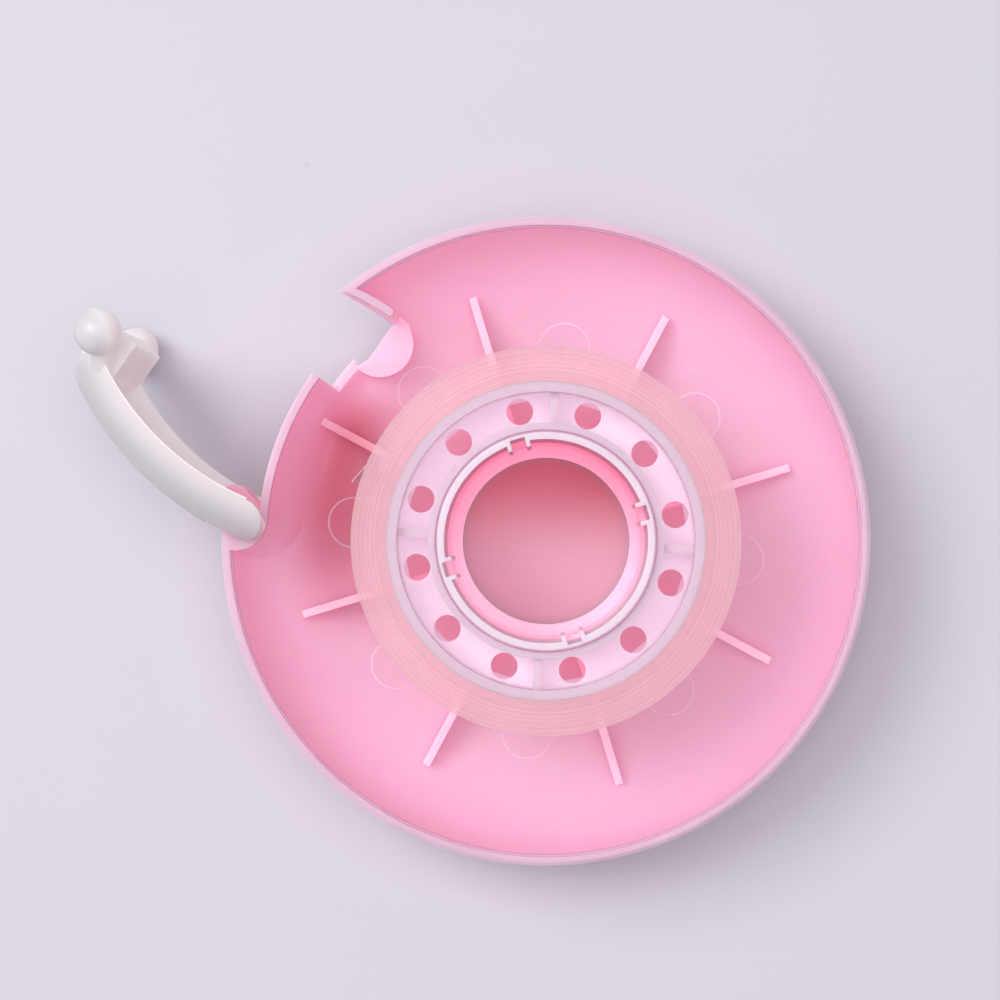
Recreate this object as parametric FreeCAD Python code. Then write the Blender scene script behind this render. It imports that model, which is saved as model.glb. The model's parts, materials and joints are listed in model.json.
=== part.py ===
"""Hand-held round tape dispenser: open case half, tape reel on its hub, swing arm.

Millimetres, +Z up. The origin is on the hub axis in the plane the case rests on.
"""
import FreeCAD
import Part
import math
import os

V = FreeCAD.Vector
UP = V(0, 0, 1)

# Case half: a shallow dish with an elliptical side and a flat base
case_r = 38.5
case_depth = 16.0
base_flat_r = 17.0
wall = 1.3
finger_hole_r = 10.35
hole_edge_round = 0.9
ledge_drop = 0.9
tongue_outer_r = 38.04
tongue_inner_r = 37.4
tongue_inner_drop = 0.5

# Hub tube that carries the reel and takes the latches of the missing cover
hub_r = 12.5
hub_bore_r = 11.7
hub_top = 25.2
hub_ledge_top = 2.0
latch_count = 4
latch_first_deg = 15.9
latch_width = 1.7
latch_depth = 0.45
latch_bottom = 12.0
nib_width = 0.5
nib_reach = 0.75

# Ribs that the reel rests on
rib_count = 8
rib_first_deg = 16.8
rib_width = 0.95
rib_end_r = 31.0
rib_top = 6.7

# Notch for the swing arm, its end walls and the tape mouth
pivot = V(-35.1, 2.5, 0)
notch_face_centre_r = 10.64
notch_face_radius = 23.56
notch_wall = 1.1
notch_foot_round = 4.0
notch_tongue_set_back = 0.2
notch_reach = 29.05
notch_step_r = 34.9
corner_r = 2.66
corner_deg = 175.9
corner_line_deg = 156.9
corner_line_gap = 2.14
landing_inner_reach = 23.7
landing_chord_deg = 55.6
landing_end_deg = 56.2
mouth_start_deg = 100.0
mouth_end_deg = 144.2
mouth_floor = rib_top
ear_pocket_r = 2.45
ear_pocket_top = 9.6

# Hinge: a pin moulded in the arm turns in a knuckle moulded on the case
pin_r = 1.0
pin_clearance = 0.06
knuckle_r = 2.0
knuckle_nose = V(-37.0, 4.7, 0)
knuckle_bottom = 9.7
knuckle_top = 15.6

# Swing arm, described closed and then turned open about the pivot
arm_open_deg = 70.7
arm_half_width = 10.9
arm_outer_r = 37.8
arm_inner_gap = 0.9
arm_tip_deg = 132.0
arm_tip_round = 3.0
arm_hinge_deg = 175.9
arm_lower_ear_r = 2.15
arm_upper_ear_r = 2.4
arm_slot_r = 5.3
arm_slot_bottom = 9.4
arm_slot_top = 18.9
knob_r = 2.7
knob_half_span = 13.0
knob_pitch_r = 31.5
knob_deg = 130.1
knob_neck_r = 1.25
knob_pocket_clearance = 0.3
knob_neck_clearance = 0.5
knob_pocket_wall = 0.8
anvil_half_width = 8.9
anvil_corners = [(29.6, 130.2), (28.7, 134.9), (32.6, 138.6), (36.0, 139.4), (36.0, 133.2), (33.2, 129.6)]
groove_pitch = 5.7
groove_width = 0.3
groove_depth = 0.25
tooth_count = 16
tooth_land = 0.15

# Tape reel: a plastic core with the tape wound on it
core_bore_r = 12.8
core_tube_r = 13.6
core_rim_inner_r = 17.15
core_rim_r = 18.35
core_tube_top = 24.4
web_bottom = 19.0
web_top = 20.2
web_hole_count = 12
web_hole_r = 1.57
web_hole_pitch_r = 15.37
web_hole_first_deg = 11.5
spoke_count = 4
spoke_first_deg = -3.5
spoke_width = 1.0
spoke_half_height = 7.4
tape_r = 22.4
tape_bottom = 7.0
tape_width = 18.0
tail_start_deg = 156.5
tail_end_deg = 163.0
tail_lift = 0.95
tail_thickness = 0.15

below = -1.0
above = 2 * case_depth + 1.0


def polar(radius, degrees, z=0.0):
    angle = math.radians(degrees)
    return V(radius * math.cos(angle), radius * math.sin(angle), z)


def cylinder(radius, z0, z1, centre=V(0, 0, 0)):
    return Part.makeCylinder(radius, z1 - z0, V(centre.x, centre.y, z0), UP)


def tube(inner, outer, z0, z1):
    return cylinder(outer, z0, z1).cut(cylinder(inner, z0, z1))


def prism(points, z0, z1):
    raised = [V(p.x, p.y, z0) for p in points]
    outline = Part.makePolygon(raised + raised[:1])
    return Part.Face(outline).extrude(V(0, 0, z1 - z0))


def radial_bar(r0, r1, width, z0, z1, degrees, offset=0.0):
    bar = Part.makeBox(r1 - r0, width, z1 - z0, V(r0, offset - width / 2, z0))
    bar.rotate(V(0, 0, 0), UP, degrees)
    return bar


def quadrant(corner, first, second):
    """Upright block between two directions from a corner, for rounding an edge off."""
    return prism([corner, corner + first, corner + first + second, corner + second], below, above)


def spin(edges):
    """Turn a closed outline drawn as (radius, height) once round the Z axis."""
    face = Part.Face(Part.Wire(edges))
    face.rotate(V(0, 0, 0), V(1, 0, 0), 90)
    return face.revolve(V(0, 0, 0), UP, 360)


def line(x0, y0, x1, y1):
    return Part.makeLine(V(x0, y0, 0), V(x1, y1, 0))


def dish(inset):
    """Solid under one half of the case surface moved inwards by inset."""
    major = case_r - base_flat_r - inset
    minor = case_depth - inset
    side = Part.Ellipse(V(base_flat_r, case_depth, 0), major, minor)
    arc = Part.ArcOfEllipse(side, -math.pi / 2, 0).toShape()
    return spin([
        line(0, inset, base_flat_r, inset),
        arc,
        line(base_flat_r + major, case_depth, 0, case_depth),
        line(0, case_depth, 0, inset),
    ])


def lens(half_height):
    """Band about the parting plane: its edges lie on the closed case's surface, its middle at arm_outer_r."""
    limit = math.asin(half_height / case_depth)
    edge_r = base_flat_r + (case_r - base_flat_r) * math.cos(limit)
    major = (arm_outer_r - edge_r) / (1 - math.cos(limit))
    side = Part.Ellipse(V(arm_outer_r - major, case_depth, 0), major, case_depth)
    arc = Part.ArcOfEllipse(side, -limit, limit).toShape()
    z0 = case_depth - half_height
    z1 = case_depth + half_height
    return spin([line(0, z0, edge_r, z0), arc, line(edge_r, z1, 0, z1), line(0, z1, 0, z0)])


def barrel(growth):
    """Solid inside the curved face between the case and the arm."""
    radius = notch_face_radius + growth
    start = math.asin((below - case_depth) / radius)
    end = math.asin((above - case_depth) / radius)
    circle = Part.Circle(V(notch_face_centre_r, case_depth, 0), UP, radius)
    arc = Part.ArcOfCircle(circle, start, end).toShape()
    r0 = notch_face_centre_r + radius * math.cos(start)
    r1 = notch_face_centre_r + radius * math.cos(end)
    return spin([line(0, below, r0, below), arc, line(r1, above, 0, above), line(0, above, 0, below)])


def corner_boss(growth):
    """Solid round the notch's corner axis. It swells downwards just as the barrel draws in."""
    radius = notch_face_radius - growth
    middle = corner_r + notch_face_radius
    half = math.asin((above - case_depth) / radius)
    circle = Part.Circle(V(middle, case_depth, 0), UP, radius)
    arc = Part.ArcOfCircle(circle, math.pi - half, math.pi + half).toShape()
    near = middle - radius * math.cos(half)
    boss = spin([line(0, below, near, below), arc, line(near, above, 0, above), line(0, above, 0, below)])
    boss.translate(corner_axis())
    return boss


def corner_axis():
    return polar(notch_face_centre_r + notch_face_radius + corner_r, corner_deg)


def bowl():
    """Inside of the case within the notch wall, rounded where the wall meets the dish."""
    inside = dish(wall).common(barrel(-notch_wall))
    foot = [edge for edge in inside.Edges
            if edge.BoundBox.ZLength < 0.01 and wall + 1 < edge.BoundBox.ZMin < case_depth - 1]
    return inside.makeFillet(notch_foot_round, foot)


def sector(centre, radius, start_deg, end_deg, z0, z1):
    """Pie slice of less than half a turn."""
    middle = (start_deg + end_deg) / 2
    arc = Part.Arc(
        centre + polar(radius, start_deg, z0),
        centre + polar(radius, middle, z0),
        centre + polar(radius, end_deg, z0),
    ).toShape()
    hub = V(centre.x, centre.y, z0)
    ends = arc.Vertexes
    face = Part.Face(Part.Wire([
        Part.makeLine(hub, ends[0].Point),
        arc,
        Part.makeLine(ends[-1].Point, hub),
    ]))
    return face.extrude(V(0, 0, z1 - z0))


def knob_centre():
    return polar(knob_pitch_r, knob_deg)


def notch_void(margin):
    """Room for the closed arm, grown by margin on every side that has a wall."""
    along = polar(60, corner_line_deg)
    inward = polar(1, corner_line_deg - 90)
    foot = pivot - inward * (corner_line_gap + margin)
    half_plane = prism([foot - along, foot + along, foot + along + inward * 90, foot - along + inward * 90],
                       below, above)
    reach = cylinder(notch_reach + margin, below, above, pivot)
    corner = quadrant(corner_axis(), polar(12, corner_deg + 180), inward * -12)
    inner = bowl() if margin == notch_wall else barrel(-margin)
    outer = reach.common(half_plane).cut(inner)
    outer = outer.cut(corner.cut(corner_boss(margin)))

    chord_shift = math.degrees(margin / notch_reach)
    landing = sector(pivot, notch_reach + margin, landing_chord_deg - chord_shift, 85, below, above)
    landing = landing.cut(cylinder(landing_inner_reach - margin, below, above, pivot))
    landing = landing.common(cylinder(notch_step_r + margin, below, above))

    knob_pocket_r = knob_r + knob_pocket_clearance + margin
    roof = case_depth - knob_half_span + knob_r + knob_pocket_clearance
    pocket = cylinder(knob_pocket_r, below, roof + min(margin, knob_pocket_wall), knob_centre())
    return outer.fuse([landing, pocket])


def arm_moving_parts_room():
    """Pockets for the arm's lower ear and for the neck of its lower knob."""
    ear = cylinder(ear_pocket_r, below, ear_pocket_top, pivot)
    return ear.fuse(knob_neck(-1, knob_neck_r + knob_neck_clearance))


def tape_mouth():
    """Space above the low walls where the tape leaves the case, and past the landing wall's round end."""
    mouth = sector(V(0, 0, 0), notch_step_r, mouth_start_deg, mouth_end_deg, mouth_floor, above)
    mouth = mouth.common(cylinder(notch_reach + 0.05, mouth_floor, above, pivot))
    past_end = sector(pivot, notch_reach + 3, landing_end_deg - 20, landing_end_deg, mouth_floor, above)
    past_end = past_end.cut(cylinder(notch_reach - 1, mouth_floor, above, pivot))
    round_end = pivot + polar(notch_reach + notch_wall / 2, landing_end_deg)
    return mouth.fuse(past_end.cut(cylinder(notch_wall / 2, mouth_floor, above, round_end)))


def hub():
    body = cylinder(hub_r, wall / 2, hub_top).cut(cylinder(hub_bore_r, hub_ledge_top, hub_top))
    for k in range(latch_count):
        angle = latch_first_deg + k * 360 / latch_count
        groove = radial_bar(hub_bore_r - 1, hub_bore_r + latch_depth, latch_width,
                            latch_bottom, hub_top, angle)
        body = body.cut(groove)
        for side in (-1, 1):
            offset = side * (latch_width + nib_width) / 2
            nib = radial_bar(hub_bore_r - nib_reach, hub_bore_r + 0.3, nib_width,
                             latch_bottom, hub_top, angle, offset)
            body = body.fuse(nib)
    return body


def ribs(solid_dish):
    bars = []
    for k in range(rib_count):
        angle = rib_first_deg + k * 360 / rib_count
        bars.append(radial_bar(hub_r - 0.3, rib_end_r, rib_width, wall / 2, rib_top, angle))
    return bars[0].fuse(bars[1:]).common(solid_dish)


def knuckle():
    axis = knuckle_nose - pivot
    side = V(-axis.y, axis.x, 0).normalize() * knuckle_r
    link = prism([pivot - side, knuckle_nose - side, knuckle_nose + side, pivot + side],
                 knuckle_bottom, knuckle_top)
    nose = cylinder(knuckle_r, knuckle_bottom, knuckle_top, knuckle_nose)
    eye = cylinder(knuckle_r, knuckle_bottom, knuckle_top, pivot)
    return eye.fuse([link, nose])


def case_half():
    solid_dish = dish(0)
    shell = solid_dish.cut(dish(wall))
    notch_walls = notch_void(notch_wall).fuse(corner_boss(notch_wall)).common(solid_dish)
    body = shell.fuse([hub(), ribs(solid_dish), notch_walls.cut(tape_mouth())])
    body = body.cut(notch_void(0)).cut(arm_moving_parts_room())

    ledge_z = case_depth - ledge_drop
    body = body.cut(tube(tongue_outer_r, case_r + 1, ledge_z, above))
    inner_step = tube(tongue_inner_r - 0.4, tongue_inner_r, case_depth - tongue_inner_drop, above)
    body = body.cut(inner_step.cut(notch_walls))
    top_slab = cylinder(case_r + 2, ledge_z, above)
    body = body.cut(notch_void(notch_tongue_set_back).common(top_slab))

    body = body.fuse(knuckle())
    body = body.cut(cylinder(pin_r + pin_clearance, knuckle_bottom - 0.5, knuckle_top + 0.5, pivot))
    body = body.cut(cylinder(finger_hole_r, below, above))
    edge_cone = Part.makeCone(finger_hole_r + hole_edge_round, finger_hole_r, hole_edge_round)
    return body.cut(edge_cone).removeSplitter()


def tape_core():
    tape_top = tape_bottom + tape_width
    body = tube(core_rim_inner_r, core_rim_r, tape_bottom, tape_top)
    body = body.fuse([
        tube(core_bore_r, core_tube_r, tape_bottom, core_tube_top),
        tube(core_tube_r - 0.2, core_rim_inner_r + 0.2, web_bottom, web_top),
    ])
    for k in range(spoke_count):
        angle = spoke_first_deg + k * 360 / spoke_count
        spoke = radial_bar(core_tube_r - 0.3, core_rim_inner_r + 0.3, spoke_width,
                           case_depth - spoke_half_height, case_depth + spoke_half_height, angle)
        body = body.fuse(spoke)
    for k in range(web_hole_count):
        centre = polar(web_hole_pitch_r, web_hole_first_deg + k * 360 / web_hole_count)
        body = body.cut(cylinder(web_hole_r, web_bottom - 0.5, web_top + 0.5, centre))
    return body.removeSplitter()


def tape_winding():
    return tube(core_rim_r, tape_r, tape_bottom, tape_bottom + tape_width)


def tape_tail():
    root = polar(tape_r - 0.05, tail_start_deg)
    tip = polar(tape_r + tail_lift, tail_end_deg)
    run = (tip - root).normalize()
    skin = V(run.y, -run.x, 0) * tail_thickness
    strip = prism([root, tip, tip - skin, root - skin], tape_bottom, tape_bottom + tape_width)
    return strip.cut(cylinder(tape_r, below, above))


def arm_shell():
    outline = sector(V(0, 0, 0), case_r + 1, arm_tip_deg, arm_hinge_deg, below, above)
    round_r = arm_outer_r - arm_tip_round
    round_deg = arm_tip_deg + math.degrees(math.asin(arm_tip_round / round_r))
    tip = quadrant(polar(round_r, round_deg), polar(9, round_deg), polar(9, arm_tip_deg - 90))
    outline = outline.cut(tip.cut(cylinder(arm_tip_round, below, above, polar(round_r, round_deg))))
    outline = outline.fuse([
        cylinder(arm_lower_ear_r, below, arm_slot_bottom, pivot),
        cylinder(arm_upper_ear_r, arm_slot_top, above, pivot),
    ])
    shell = lens(arm_half_width).cut(barrel(arm_inner_gap)).common(outline)
    slot = cylinder(arm_slot_r, arm_slot_bottom, arm_slot_top, pivot)
    pin = cylinder(pin_r, arm_slot_bottom - 0.4, arm_slot_top + 0.4, pivot)
    return shell.cut(slot).fuse(pin)


def arm_anvil():
    """Block at the arm tip: grooved landing face and a row of cutting teeth."""
    corners = [polar(radius, degrees) for radius, degrees in anvil_corners]
    z0 = case_depth - anvil_half_width
    z1 = case_depth + anvil_half_width
    body = prism(corners, z0, z1)

    far, edge = corners[0], corners[1]
    face_deg = math.degrees(math.atan2(edge.y - far.y, edge.x - far.x))
    length = far.distanceToPoint(edge) + 2
    for k in (-1, 0, 1):
        groove = Part.makeBox(length, 2 * groove_depth, groove_width,
                              V(-1, -groove_depth, case_depth + k * groove_pitch - groove_width / 2))
        groove.rotate(V(0, 0, 0), UP, face_deg)
        groove.translate(far)
        body = body.cut(groove)

    pitch = (z1 - z0) / tooth_count
    gap_half = pitch / 2 - tooth_land / 2
    for k in range(tooth_count):
        side = gap_half * math.sqrt(2)
        gap = Part.makeBox(3, side, side, V(-1.5, 0, 0))
        gap.rotate(V(0, 0, 0), V(1, 0, 0), 45)
        gap.rotate(V(0, 0, 0), UP, face_deg - 45)
        gap.translate(V(edge.x, edge.y, z0 + (k + 0.5) * pitch - gap_half))
        body = body.cut(gap)
    return body.common(lens(arm_half_width))


def knob_middle(side):
    return knob_centre() + V(0, 0, case_depth + side * knob_half_span)


def knob_neck(side, radius):
    """Slanted round neck from the arm's edge to the knob on one side."""
    middle = knob_middle(side)
    anchor = polar(33.0, 135.6, case_depth + side * (arm_half_width - 1.6))
    reach = anchor - middle
    return Part.makeCylinder(radius, reach.Length, middle, reach)


def knobs():
    return [part for side in (-1, 1)
            for part in (Part.makeSphere(knob_r, knob_middle(side)), knob_neck(side, knob_neck_r))]


def swing_arm():
    body = arm_shell().fuse([arm_anvil()] + knobs())
    body.rotate(pivot, UP, arm_open_deg)
    return body.removeSplitter()


os.makedirs("parts", exist_ok=True)
case_half().exportStep("parts/case_half.step")
tape_core().exportStep("parts/tape_core.step")
tape_winding().exportStep("parts/tape_winding.step")
tape_tail().exportStep("parts/tape_tail.step")
swing_arm().exportStep("parts/swing_arm.step")
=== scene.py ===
"""Looks of the round tape dispenser: materials, moulding details, table, light and camera."""

import json
import math

import bpy
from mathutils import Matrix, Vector

MM = 0.001

# Radii from the hub axis, and places (x, y) in the row frame, in millimetres
FINGER_HOLE_R = 10.35
HUB_INSIDE_R = 12.3
REEL_R = 22.4
SHELF_INNER_R = 26.5
CASE_DEPTH = 16.0
ARM_AXIS = (-21.14, 34.8)
ARM_FACE_CENTRE_R = 10.64
ARM_FACE_RADIUS = 24.46
ARM_FACE_MARGIN = 0.08
ARM_GLOW_FADE = 2.0
MOUTH_CENTRE = (-20.9, 23.4)
MOUTH_REACH = 5.9
KNUCKLE_NOSE = (-37.0, 4.7)
NOSE_EDGE = (3.6, 2.9)
PIN_MARK_COUNT = 8
PIN_MARK_FIRST_DEG = 39.5
PIN_MARK_PITCH_R = 23.8
PIN_MARK_R = 3.1
PIN_MARK_HALF_WIDTH = 0.06
PIN_MARK_SOFT = 0.09
HUB_TO_RIM_R = (13.0, 20.0)

# Where the light falls off across the case
BORE_SHADE_Y = (9 * MM, -11 * MM)
NOTCH_SHADE_X = (-20 * MM, -30 * MM)

# Heights above the table
BASE_TOP = 1.2 * MM
HUB_LEDGE_TOP = 2.3 * MM
FLOOR_MARKS_TOP = 5.5 * MM
SHELF_LEVEL = (6.5 * MM, 6.9 * MM)
TAPE_BOTTOM = 7.0 * MM
GLOW_TOP = 14.6 * MM
RIM_BOTTOM = 15.0 * MM
CORE_GLOW = (21 * MM, 24 * MM)
HUB_TOP = (24.9 * MM, 24.7 * MM)
TAPE_TOP = 25.0 * MM
EDGE = 0.05 * MM

# Colours, linear
PINK = ((0.80, 0.44, 0.575, 1), (0.83, 0.48, 0.62, 1))
# Painted shade: deeper red for the shaded floor of the case
PINK_PAINTED_SHADE = (0.74, 0.145, 0.225, 1)
PINK_LEDGE = (0.92, 0.44, 0.60, 1)
PINK_BORE_SHADE_AND_LIGHT = ((0.72, 0.27, 0.38, 1), (0.84, 0.72, 0.86, 1))
PINK_RIM = ((0.90, 0.59, 0.75, 1), (0.63, 0.36, 0.495, 1))
PINK_SHELF = (0.84, 0.40, 0.56, 1)
PINK_NOSE = (0.95, 0.33, 0.46, 1)
PINK_MARK = (1.0, 0.66, 0.79, 1)
PINK_PAINTED_GLOW = (0.78, 0.30, 0.43, 1)
CORE = ((0.69, 0.52, 0.63, 1), (0.73, 0.57, 0.68, 1))
CORE_GLOW_COLOUR = (1.0, 0.84, 0.98, 1)
TAPE = ((0.72, 0.38, 0.43, 1), (0.90, 0.60, 0.66, 1))
WHITE = ((0.57, 0.558, 0.583, 1), (0.615, 0.603, 0.628, 1))
WHITE_GLOW = (1.0, 0.84, 0.81, 1)
TABLE = ((0.585, 0.566, 0.622, 1), (0.61, 0.588, 0.645, 1))
TABLE_SPECK = (0.35, 0.34, 0.38, 1)
TABLE_HOLE_LIGHT_AND_SHADE = ((1.0, 0.25, 0.36, 1), (0.66, 0.165, 0.225, 1))

# Lights and camera; the camera is straight above the hub
KEY_PLACE = (-0.54, 0.29, 0.79)
OVERHEAD_PLACE = (0.02, 0.05, 1.0)
CAMERA_HEIGHT = 0.307
CAMERA_LENS = 88.6
CAMERA_SHIFT = (-0.046, 0.041)


class Graph:
    """Short way to build one material's node tree around its Principled shader."""

    def __init__(self, name):
        self.material = bpy.data.materials.new(name)
        self.material.use_nodes = True
        self.tree = self.material.node_tree
        self.shader = next(n for n in self.tree.nodes if n.type == "BSDF_PRINCIPLED")
        self.place = self.node("TexCoord").outputs["Object"]
        self.parts = self.node("SeparateXYZ", self.place).outputs

    def node(self, kind, *inputs, **settings):
        made = self.tree.nodes.new("ShaderNode" + kind)
        for key, value in settings.items():
            setattr(made, key, value)
        for index, value in enumerate(inputs):
            self.put(made.inputs[index], value)
        return made

    def put(self, socket, value):
        if isinstance(value, bpy.types.NodeSocket):
            self.tree.links.new(value, socket)
        elif value is not None:
            socket.default_value = value

    def math(self, operation, *inputs):
        return self.node("Math", *inputs, operation=operation).outputs[0]

    def noise(self, scale, detail=3.0, place=None, roughness=0.5):
        made = self.node("TexNoise")
        self.put(made.inputs["Vector"], place or self.place)
        made.inputs["Scale"].default_value = scale
        made.inputs["Detail"].default_value = detail
        made.inputs["Roughness"].default_value = roughness
        return made.outputs["Fac"]

    def ramp(self, value, low, high, out_low=0.0, out_high=1.0):
        made = self.node("MapRange", value, low, high, out_low, out_high, interpolation_type="SMOOTHSTEP")
        return made.outputs[0]

    def mix(self, factor, first, second):
        made = self.node("Mix", data_type="RGBA")
        self.put(made.inputs["Factor"], factor)
        for socket, value in zip([s for s in made.inputs if s.type == "RGBA"], (first, second)):
            self.put(socket, value)
        return next(s for s in made.outputs if s.type == "RGBA")

    def set(self, **values):
        for name, value in values.items():
            self.put(self.shader.inputs[name.replace("_", " ")], value)

    def radius(self, x_mm=0.0, y_mm=0.0):
        """Distance in millimetres from an upright line through (x, y)."""
        x = self.math("MULTIPLY_ADD", self.parts[0], 1 / MM, -x_mm)
        y = self.math("MULTIPLY_ADD", self.parts[1], 1 / MM, -y_mm)
        squares = self.math("ADD", self.math("MULTIPLY", x, x), self.math("MULTIPLY", y, y))
        return self.math("SQRT", squares)

    def band(self, value, low, high, soft):
        inside = self.ramp(value, low - soft, low)
        outside = self.ramp(value, high, high + soft)
        return self.math("MULTIPLY", inside, self.math("SUBTRACT", 1.0, outside))

    def bump(self, height, distance, strength=1.0, under=None):
        made = self.node("Bump")
        made.inputs["Strength"].default_value = strength
        made.inputs["Distance"].default_value = distance
        self.put(made.inputs["Height"], height)
        if under is not None:
            self.put(made.inputs["Normal"], under)
        return made.outputs["Normal"]

    def moulded(self, low, high):
        """Roughness and grain of a moulded part: fine grain, handling wear and hairline scratches."""
        wear = self.noise(140.0, 4.0)
        fine = self.noise(2400.0, 2.0)
        streaks = self.node("Mapping", self.place)
        streaks.inputs["Scale"].default_value = (180.0, 2600.0, 400.0)
        scratch = self.ramp(self.noise(1.0, 2.0, streaks.outputs[0]), 0.66, 0.74)
        rough = self.ramp(wear, 0.3, 0.7, low, high)
        rough = self.math("MULTIPLY_ADD", scratch, 0.08, rough)
        self.set(Roughness=rough)
        grain = self.bump(fine, 0.00001, 0.35)
        return self.bump(wear, 0.00003, 0.25, grain)


def pin_mark_ring(g):
    """Thin ring where each ejector pin met the case floor."""
    inner = PIN_MARK_R - PIN_MARK_HALF_WIDTH
    outer = PIN_MARK_R + PIN_MARK_HALF_WIDTH
    total = None
    for k in range(PIN_MARK_COUNT):
        angle = math.radians(PIN_MARK_FIRST_DEG + k * 360 / PIN_MARK_COUNT)
        distance = g.radius(PIN_MARK_PITCH_R * math.cos(angle), PIN_MARK_PITCH_R * math.sin(angle))
        ring = g.band(distance, inner, outer, PIN_MARK_SOFT)
        total = ring if total is None else g.math("MAXIMUM", total, ring)
    inside = g.math("LESS_THAN", g.parts[2], FLOOR_MARKS_TOP)
    return g.math("MULTIPLY", total, inside)


def mouth_shelf(g):
    """Mask of the thin low walls at the tape mouth, which the light from the table comes through."""
    level = g.band(g.parts[2], *SHELF_LEVEL, 2 * EDGE)
    outside = g.math("GREATER_THAN", g.radius(), SHELF_INNER_R)
    near_mouth = g.math("LESS_THAN", g.radius(*MOUTH_CENTRE), MOUTH_REACH)
    return g.math("MULTIPLY", g.math("MULTIPLY", level, outside), near_mouth)


def painted_notch_shade(g):
    """Mask of the floor between the notch wall and the reel, where painted shade turns the pink deeper red.
    """
    west = g.ramp(g.parts[0], -13 * MM, -26 * MM)
    north_of_corner = g.ramp(g.parts[1], -15 * MM, 5 * MM)
    inside_wall = g.ramp(g.radius(), 33.5, 26.5)
    below_mouth = g.ramp(g.radius(*MOUTH_CENTRE), 3.0, 9.5)
    across = g.math("MULTIPLY", west, north_of_corner)
    return g.math("MULTIPLY", across, g.math("MULTIPLY", inside_wall, below_mouth))


def pink_plastic():
    g = Graph("pink_moulded_plastic")
    cloud = g.noise(30.0, 2.0)
    body = g.mix(cloud, *PINK)
    covered = g.band(g.radius(), FINGER_HOLE_R, REEL_R, 2.0)
    shade = painted_notch_shade(g)
    # Painted shade: the pink turns deeper red on the floor between the notch wall and the reel, and partly
    # under the reel
    painted_shade_mix = g.math("MAXIMUM", g.math("MULTIPLY", shade, 0.88), g.math("MULTIPLY", covered, 0.45))
    body = g.mix(painted_shade_mix, body, PINK_PAINTED_SHADE)
    # Painted light and shade in the hub bore: the north wall is drawn dark as in shade, the south wall light
    # as if lit, and the ledge at the bottom keeps a lighter pink
    bore = g.math("LESS_THAN", g.radius(), HUB_INSIDE_R)
    above_ledge = g.math("GREATER_THAN", g.parts[2], HUB_LEDGE_TOP)
    north_tone = g.mix(above_ledge, PINK_LEDGE, PINK_BORE_SHADE_AND_LIGHT[0])
    bore_tone = g.mix(g.ramp(g.parts[1], *BORE_SHADE_Y), north_tone, PINK_BORE_SHADE_AND_LIGHT[1])
    body = g.mix(bore, body, bore_tone)
    # Painted sheen: the case above the rim height is drawn lilac, standing for light scattered and reflected
    # at the plastic's edges; lightest on the hub top, darker out at the rim
    below_hub_top = g.ramp(g.parts[2], *HUB_TOP)
    beside_bore = g.math("SUBTRACT", 1.0, g.math("MULTIPLY", bore, below_hub_top))
    rim = g.math("MULTIPLY", g.ramp(g.parts[2], RIM_BOTTOM, RIM_BOTTOM + EDGE), beside_bore)
    rim_tone = g.mix(g.ramp(g.radius(), *HUB_TO_RIM_R), *PINK_RIM)
    colour = g.mix(rim, body, rim_tone)
    colour = g.mix(mouth_shelf(g), colour, PINK_SHELF)
    # Painted shade: the knuckle nose is drawn a deeper red in place of the lilac top
    nose = g.ramp(g.radius(*KNUCKLE_NOSE), *NOSE_EDGE)
    colour = g.mix(nose, colour, PINK_NOSE)
    marks = pin_mark_ring(g)
    colour = g.mix(g.math("MULTIPLY", marks, 0.6), colour, PINK_MARK)
    normal = g.moulded(0.34, 0.46)
    normal = g.bump(marks, 0.00012, 0.5, normal)
    # Painted light: a pink glow on the shell below the rim, standing for light passing through the
    # translucent plastic; stronger under the reel, slightly weaker toward the notch, and none on the painted
    # notch shade
    above_base = g.band(g.parts[2], BASE_TOP, GLOW_TOP, 8 * EDGE)
    shaded = g.ramp(g.parts[0], *NOTCH_SHADE_X, 0.17, 0.15)
    lit = g.math("MULTIPLY", above_base, g.math("SUBTRACT", 1.0, shade))
    painted_glow = g.math("MULTIPLY", lit, g.math("MULTIPLY_ADD", covered, 0.16, shaded))
    g.set(Base_Color=colour, Normal=normal, Subsurface_Weight=0.8, Subsurface_Scale=0.006,
          Subsurface_Radius=(1.0, 0.5, 0.6), Specular_IOR_Level=0.8,
          Emission_Color=PINK_PAINTED_GLOW, Emission_Strength=painted_glow)
    return g.material


def core_plastic():
    g = Graph("natural_core_plastic")
    cloud = g.noise(90.0, 3.0)
    colour = g.mix(cloud, *CORE)
    normal = g.moulded(0.38, 0.55)
    # Painted light: the core glows below its top, standing for light passing through the translucent web in
    # its recess
    painted_glow = g.ramp(g.parts[2], *CORE_GLOW, 0.24, 0.0)
    g.set(Base_Color=colour, Normal=normal, Subsurface_Weight=0.6, Subsurface_Scale=0.005,
          Subsurface_Radius=(1.0, 0.7, 0.8), Specular_IOR_Level=0.4, Alpha=0.75,
          Emission_Color=CORE_GLOW_COLOUR, Emission_Strength=painted_glow)
    return g.material


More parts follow.
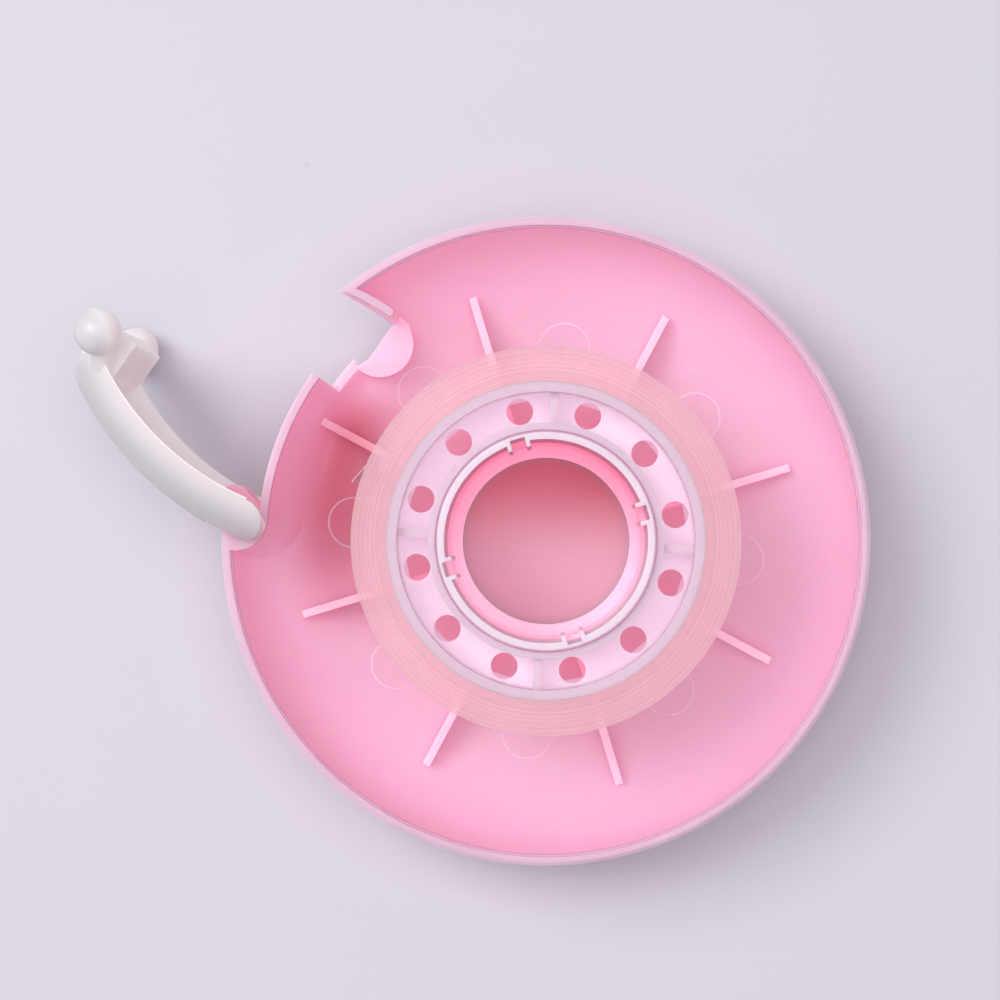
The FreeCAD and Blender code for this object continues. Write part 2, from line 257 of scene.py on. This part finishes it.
def tape_film():
    g = Graph("wound_tape_film")
    turns = g.node("TexNoise", noise_dimensions="1D")
    g.put(turns.inputs["W"], g.radius())
    turns.inputs["Scale"].default_value = 5.0
    turns.inputs["Detail"].default_value = 5.0
    turns.inputs["Roughness"].default_value = 0.75
    flat = g.node("Mapping", g.place)
    flat.inputs["Scale"].default_value = (60.0, 60.0, 900.0)
    side = g.ramp(g.noise(1.0, 3.0, flat.outputs[0]), 0.3, 0.7, 0.47, 0.55)
    on_side = g.band(g.parts[2], TAPE_BOTTOM + EDGE, TAPE_TOP - EDGE, 0.4 * EDGE)
    ends_only = g.math("MULTIPLY", turns.outputs["Fac"], g.math("SUBTRACT", 1.0, on_side))
    layers = g.math("MULTIPLY_ADD", side, on_side, ends_only)
    colour = g.mix(g.ramp(layers, 0.4, 0.62), *TAPE)
    wear = g.noise(300.0, 3.0)
    normal = g.bump(layers, 0.00006, 0.5)
    g.set(Base_Color=colour, Normal=normal, Roughness=g.ramp(wear, 0.3, 0.7, 0.22, 0.36), Alpha=0.48,
          Specular_IOR_Level=0.5)
    return g.material


def arm_inside(g):
    """Mask of the arm's hollow face and all that stands on it, fading outwards."""
    rise = g.math("MULTIPLY_ADD", g.parts[2], 1 / MM, -CASE_DEPTH)
    squares = g.math("MULTIPLY_ADD", g.math("MULTIPLY", rise, rise), -1.0, ARM_FACE_RADIUS ** 2)
    face_r = g.math("ADD", g.math("SQRT", squares), ARM_FACE_CENTRE_R + ARM_FACE_MARGIN)
    return g.ramp(g.math("SUBTRACT", g.radius(*ARM_AXIS), face_r), ARM_GLOW_FADE, 0.0)


def white_plastic():
    g = Graph("white_moulded_plastic")
    cloud = g.noise(60.0, 2.0)
    colour = g.mix(cloud, *WHITE)
    normal = g.moulded(0.3, 0.42)
    # Painted light: a warm glow on the arm's hollow face, standing for pink light bounced from the case
    g.set(Base_Color=colour, Normal=normal, Subsurface_Weight=0.6, Subsurface_Scale=0.006,
          Subsurface_Radius=(1.0, 0.75, 0.75), Specular_IOR_Level=0.45,
          Emission_Color=WHITE_GLOW, Emission_Strength=g.math("MULTIPLY", arm_inside(g), 0.2))
    return g.material


def table_surface():
    g = Graph("painted_table")
    cloud = g.noise(6.0, 3.0)
    colour = g.mix(cloud, *TABLE)
    grain = g.noise(1800.0, 3.0)
    specks = g.ramp(g.noise(420.0, 1.0), 0.80, 0.83)
    colour = g.mix(g.math("MULTIPLY", specks, 0.35), colour, TABLE_SPECK)
    # Painted light and shade on the table inside the finger hole: pink light through the shell, darker and
    # stronger toward the north side in the hub wall's shade
    in_hole = g.math("SUBTRACT", 1.0, g.ramp(g.radius(), FINGER_HOLE_R - 1.0, FINGER_HOLE_R + 1.5))
    hole_light_mix = g.math("MULTIPLY", in_hole, g.ramp(g.parts[1], -2 * MM, 9 * MM, 0.33, 0.85))
    hole_tone = g.mix(g.ramp(g.parts[1], -6 * MM, 9 * MM), *TABLE_HOLE_LIGHT_AND_SHADE)
    colour = g.mix(hole_light_mix, colour, hole_tone)
    normal = g.bump(grain, 0.00004, 0.35)
    g.set(Base_Color=colour, Normal=normal, Roughness=g.ramp(grain, 0.3, 0.7, 0.62, 0.78),
          Specular_IOR_Level=0.25)
    return g.material


def paint(obj, material):
    obj.data.materials.clear()
    obj.data.materials.append(material)


def smooth(obj, degrees=32.0):
    bpy.ops.object.select_all(action="DESELECT")
    obj.select_set(True)
    bpy.context.view_layer.objects.active = obj
    bpy.ops.object.shade_smooth_by_angle(angle=math.radians(degrees))


def add_table():
    bpy.ops.mesh.primitive_plane_add(size=3.0, location=(0, 0, 0))
    table = bpy.context.object
    table.name = "table_top"
    paint(table, table_surface())


def add_area_light(name, place, size, power, colour, target=(0, 0, 0.01)):
    data = bpy.data.lights.new(name, "AREA")
    data.shape = "DISK"
    data.size = size
    data.energy = power
    data.color = colour
    lamp = bpy.data.objects.new(name, data)
    lamp.location = place
    lamp.rotation_euler = (Vector(target) - Vector(place)).to_track_quat("-Z", "Y").to_euler()
    bpy.context.scene.collection.objects.link(lamp)
    return lamp


def add_light():
    world = bpy.context.scene.world or bpy.data.worlds.new("studio")
    bpy.context.scene.world = world
    world.use_nodes = True
    background = world.node_tree.nodes["Background"]
    background.inputs["Color"].default_value = (0.97, 0.96, 1.0, 1)
    background.inputs["Strength"].default_value = 0.39
    add_area_light("key", KEY_PLACE, 0.55, 5.3, (1.0, 0.99, 0.99))
    add_area_light("overhead", OVERHEAD_PLACE, 0.9, 5.05, (1.0, 0.99, 1.0))


def add_camera():
    data = bpy.data.cameras.new("camera")
    data.lens = CAMERA_LENS
    data.sensor_width = 36.0
    data.shift_x, data.shift_y = CAMERA_SHIFT
    data.clip_start = 0.01
    camera = bpy.data.objects.new("camera", data)
    camera.location = (0, 0, CAMERA_HEIGHT)
    bpy.context.scene.collection.objects.link(camera)
    bpy.context.scene.camera = camera


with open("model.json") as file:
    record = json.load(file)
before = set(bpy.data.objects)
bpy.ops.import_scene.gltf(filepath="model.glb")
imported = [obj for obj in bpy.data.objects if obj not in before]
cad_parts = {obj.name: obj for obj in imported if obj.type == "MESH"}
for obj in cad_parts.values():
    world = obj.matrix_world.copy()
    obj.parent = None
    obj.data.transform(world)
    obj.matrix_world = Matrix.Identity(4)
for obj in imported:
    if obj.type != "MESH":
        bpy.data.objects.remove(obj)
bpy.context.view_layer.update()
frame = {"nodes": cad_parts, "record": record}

finishes = {
    "pink_plastic": pink_plastic(),
    "core_plastic": core_plastic(),
    "tape_film": tape_film(),
    "white_plastic": white_plastic(),
}
slots = {part["node"]: part["material_slot"] for part in frame["record"]["subparts"]}
for node, obj in frame["nodes"].items():
    paint(obj, finishes[slots[node]])
    smooth(obj)

add_table()
add_light()
add_camera()
bpy.context.scene.view_settings.view_transform = "Standard"
bpy.context.scene.cycles.transparent_max_bounces = 24
